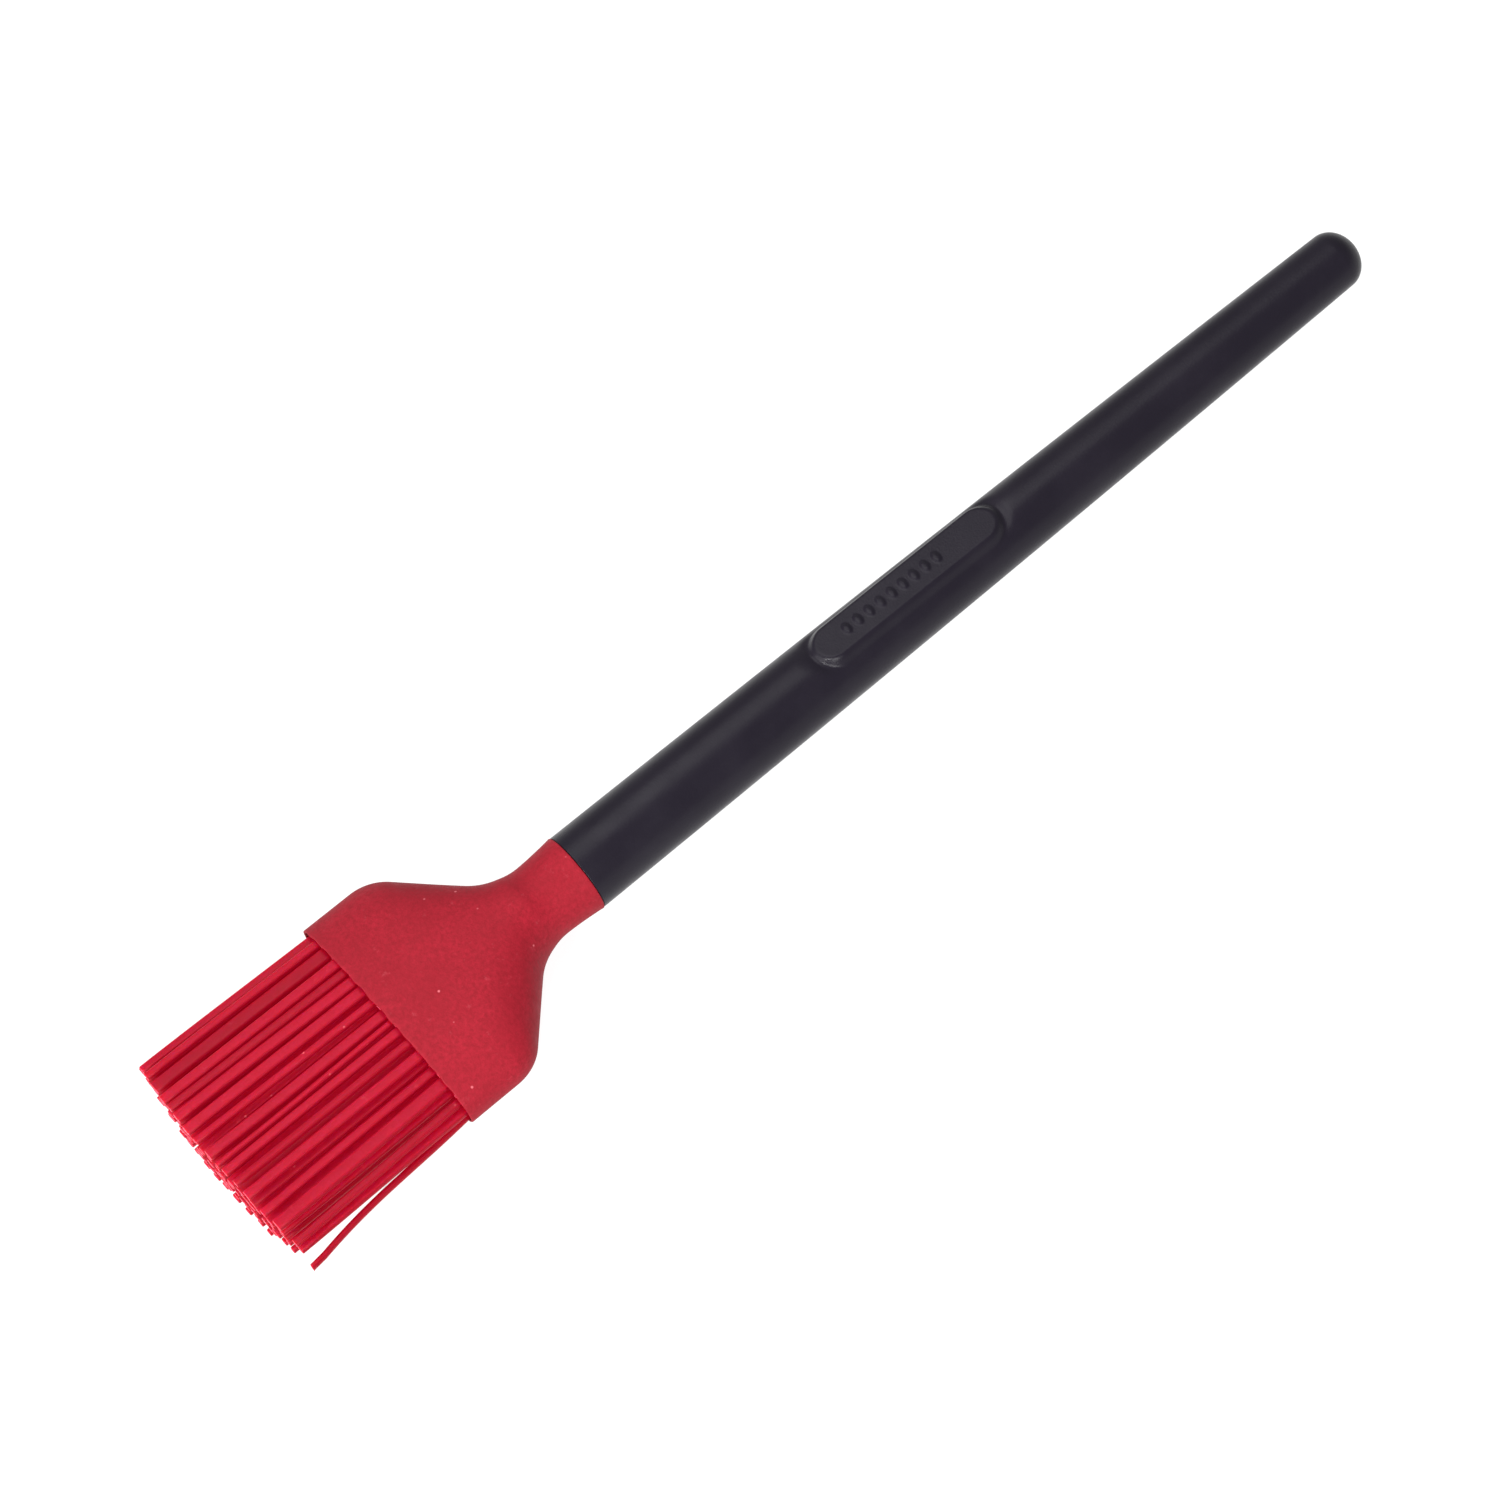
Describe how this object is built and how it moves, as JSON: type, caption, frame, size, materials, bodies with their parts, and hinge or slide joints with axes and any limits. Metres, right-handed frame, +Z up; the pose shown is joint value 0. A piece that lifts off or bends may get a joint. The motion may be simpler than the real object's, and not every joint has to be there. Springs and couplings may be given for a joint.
{
  "type": "pastry brush",
  "caption": "Flat pastry and basting brush: rows of soft silicone bristles in a red silicone boot that pulls off a tapering black handle.",
  "frame": {"origin": "under the middle of the brush's length, on the surface that it lies on", "axes": "+Y along the brush from the bristle tips to the butt of the handle, +X across the flat head, +Z up, out of the side with the raised pad"},
  "size_m": [0.0498, 0.2662, 0.018],
  "materials": {
    "handle_nylon": "fine matte moulded nylon, black with a faint violet cast",
    "boot_silicone": "dull red silicone rubber",
    "holder_nylon": "moulded red nylon, out of sight",
    "bristle_silicone": "satin saturated red silicone, slightly translucent"
  },
  "bodies": {
    "handle": {"handle": "handle_nylon"},
    "head": {"boot": "boot_silicone", "bristle_holder": "holder_nylon"},
    "bristle_row_1": {"bristle_comb_1": "bristle_silicone"},
    "bristle_row_2": {"bristle_comb_2": "bristle_silicone"},
    "bristle_row_3": {"bristle_comb_3": "bristle_silicone"},
    "bristle_row_4": {"bristle_comb_4": "bristle_silicone"},
    "bristle_row_5": {"bristle_comb_5": "bristle_silicone"},
    "bristle_row_6": {"bristle_comb_6": "bristle_silicone"},
    "bristle_row_7": {"bristle_comb_7": "bristle_silicone"}
  },
  "joints": [
    {"name": "head_pull", "type": "slide", "parent": "handle", "child": "head", "axis": [0, -1, 0], "range_m": [0, 0.034]},
    {"name": "bristle_bend_1", "type": "hinge", "parent": "head", "child": "bristle_row_1", "pos_m": [0, -0.0924, 0.0024], "axis": [1, 0, 0], "range_deg": [-18, 18], "stiffness_Nm_per_rad": 0.01},
    {"name": "bristle_bend_2", "type": "hinge", "parent": "head", "child": "bristle_row_2", "pos_m": [0, -0.0924, 0.0046], "axis": [1, 0, 0], "range_deg": [-18, 18], "stiffness_Nm_per_rad": 0.01},
    {"name": "bristle_bend_3", "type": "hinge", "parent": "head", "child": "bristle_row_3", "pos_m": [0, -0.0924, 0.0068], "axis": [1, 0, 0], "range_deg": [-18, 18], "stiffness_Nm_per_rad": 0.01},
    {"name": "bristle_bend_4", "type": "hinge", "parent": "head", "child": "bristle_row_4", "pos_m": [0, -0.0924, 0.009], "axis": [1, 0, 0], "range_deg": [-18, 18], "stiffness_Nm_per_rad": 0.01},
    {"name": "bristle_bend_5", "type": "hinge", "parent": "head", "child": "bristle_row_5", "pos_m": [0, -0.0924, 0.0112], "axis": [1, 0, 0], "range_deg": [-18, 18], "stiffness_Nm_per_rad": 0.01},
    {"name": "bristle_bend_6", "type": "hinge", "parent": "head", "child": "bristle_row_6", "pos_m": [0, -0.0924, 0.0134], "axis": [1, 0, 0], "range_deg": [-18, 18], "stiffness_Nm_per_rad": 0.01},
    {"name": "bristle_bend_7", "type": "hinge", "parent": "head", "child": "bristle_row_7", "pos_m": [0, -0.0924, 0.0156], "axis": [1, 0, 0], "range_deg": [-18, 18], "stiffness_Nm_per_rad": 0.01}
  ],
  "couplings": [
    {"joint": "bristle_bend_1", "follows": "bristle_bend_4", "ratio": 1},
    {"joint": "bristle_bend_2", "follows": "bristle_bend_4", "ratio": 1},
    {"joint": "bristle_bend_3", "follows": "bristle_bend_4", "ratio": 1},
    {"joint": "bristle_bend_5", "follows": "bristle_bend_4", "ratio": 1},
    {"joint": "bristle_bend_6", "follows": "bristle_bend_4", "ratio": 1},
    {"joint": "bristle_bend_7", "follows": "bristle_bend_4", "ratio": 1}
  ]
}
